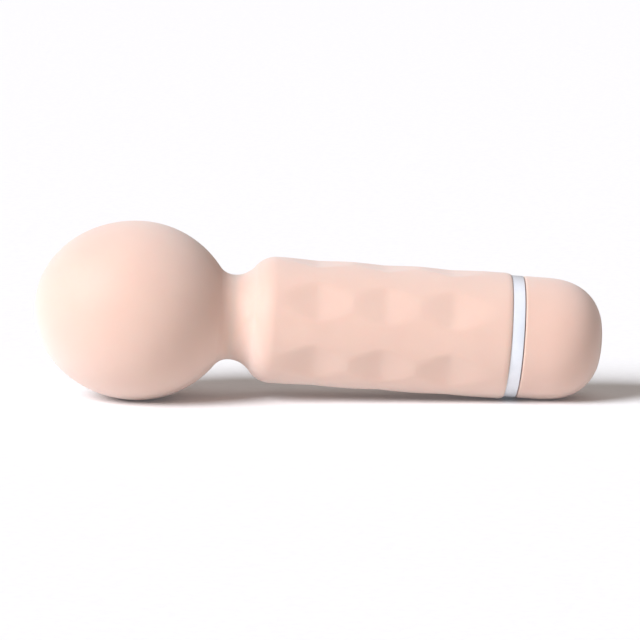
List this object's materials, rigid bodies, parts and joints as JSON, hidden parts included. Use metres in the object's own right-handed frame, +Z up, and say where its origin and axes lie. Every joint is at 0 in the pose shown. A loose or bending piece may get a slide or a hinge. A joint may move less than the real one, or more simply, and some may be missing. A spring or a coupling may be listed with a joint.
{
  "type": "handheld wand massager",
  "caption": "Pocket wand massager: soft ball head on a flexible neck, faceted round grip, pearly band and a screw-on domed battery cap with a push-button in its end.",
  "frame": {"origin": "centre of the footprint of the wand as it lies on a flat surface, at that surface", "axes": "+X from the ball head to the cap, level with the surface; +Z up; the wand's own axis dips by about four degrees towards the cap, because ball and cap both touch the surface"},
  "size_m": [0.1078, 0.034, 0.034],
  "materials": {
    "silicone": "matt, soft-touch",
    "cap_plastic": "soft-touch coated",
    "pearl_plastic": "pearl satin",
    "white_plastic": "moulded, spark-eroded texture",
    "black_rubber": "matt",
    "clear_rubber": "matt translucent silicone",
    "zinc_steel": "zinc plated",
    "spring_steel": "drawn wire",
    "nickel_brass": "nickel plated",
    "bronze": "sintered, oil filled",
    "copper": "enamelled wire and bars",
    "lamination": "stamped silicon steel",
    "ferrite": "sintered ferrite",
    "tungsten": "sintered heavy alloy",
    "phenolic": "laminate board",
    "black_plastic": "moulded",
    "lead_insulation": "extruded",
    "cell_can": null,
    "cell_wrap": "shrink sleeve"
  },
  "bodies": {
    "handle": {"battery_tube": "white_plastic", "grip_sleeve": "silicone", "band": "pearl_plastic", "neck_collar": "white_plastic", "contact_plate": "nickel_brass", "return_strip": "nickel_brass", "battery_cell": "cell_can", "battery_wrap": "cell_wrap"},
    "neck": {"neck_skin": "silicone", "neck_spring": "spring_steel", "motor_leads": "lead_insulation"},
    "head": {"head_skin": "silicone", "head_shell_front": "white_plastic", "head_shell_rear": "white_plastic", "motor_cradle_front": "black_rubber", "motor_cradle_rear": "black_rubber", "motor_can": "zinc_steel", "motor_bushes": "bronze", "motor_magnets": "ferrite", "motor_end_bell": "black_plastic", "motor_terminals": "nickel_brass", "motor_brushes": "nickel_brass"},
    "rotor": {"motor_shaft": "zinc_steel", "armature": "lamination", "windings": "copper", "commutator": "copper", "eccentric_weight": "tungsten"},
    "seal": {"cap_seal_ring": "black_rubber"},
    "cap": {"cap_shell": "cap_plastic", "contact_ring": "nickel_brass", "switch_board": "phenolic", "board_screws": "zinc_steel", "tact_switch": "black_plastic", "switch_bracket": "white_plastic", "battery_spring": "spring_steel", "return_ring": "clear_rubber"},
    "push_button": {"button": "cap_plastic", "switch_plunger": "white_plastic"}
  },
  "joints": [
    {"name": "neck_bend", "type": "hinge", "parent": "handle", "child": "neck", "pos_m": [-0.0145, 0, 0.01561], "axis": [0, 1, 0], "range_deg": [-12, 12], "stiffness_Nm_per_rad": 0.5, "deforming": ["neck_skin", "neck_spring", "motor_leads"]},
    {"name": "neck_sway", "type": "hinge", "parent": "neck", "child": "head", "pos_m": [-0.01868, 0, 0.0159], "axis": [0.0697, 0, 0.9976], "range_deg": [-12, 12], "stiffness_Nm_per_rad": 0.5, "deforming": ["neck_skin", "neck_spring", "motor_leads"]},
    {"name": "motor_spin", "type": "hinge", "parent": "head", "child": "rotor", "pos_m": [-0.03295, 0, 0.0169], "axis": [0.9976, 0, -0.0697], "continuous": true},
    {"name": "cap_travel", "type": "slide", "parent": "handle", "child": "seal", "axis": [0.9976, 0, -0.0697], "range_m": [0, 0.0064]},
    {"name": "cap_turn", "type": "hinge", "parent": "seal", "child": "cap", "pos_m": [0.04198, 0, 0.01166], "axis": [0.9976, 0, -0.0697], "range_deg": [0, 1440]},
    {"name": "button_press", "type": "slide", "parent": "cap", "child": "push_button", "axis": [-0.9976, 0, 0.0697], "range_m": [0, 0.0006], "stiffness_N_per_m": 2500, "springref_m": -0.0003, "deforming": ["return_ring"]}
  ],
  "couplings": [
    {"joint": "cap_travel", "follows": "cap_turn", "m_per_rad": 0.00025465}
  ]
}
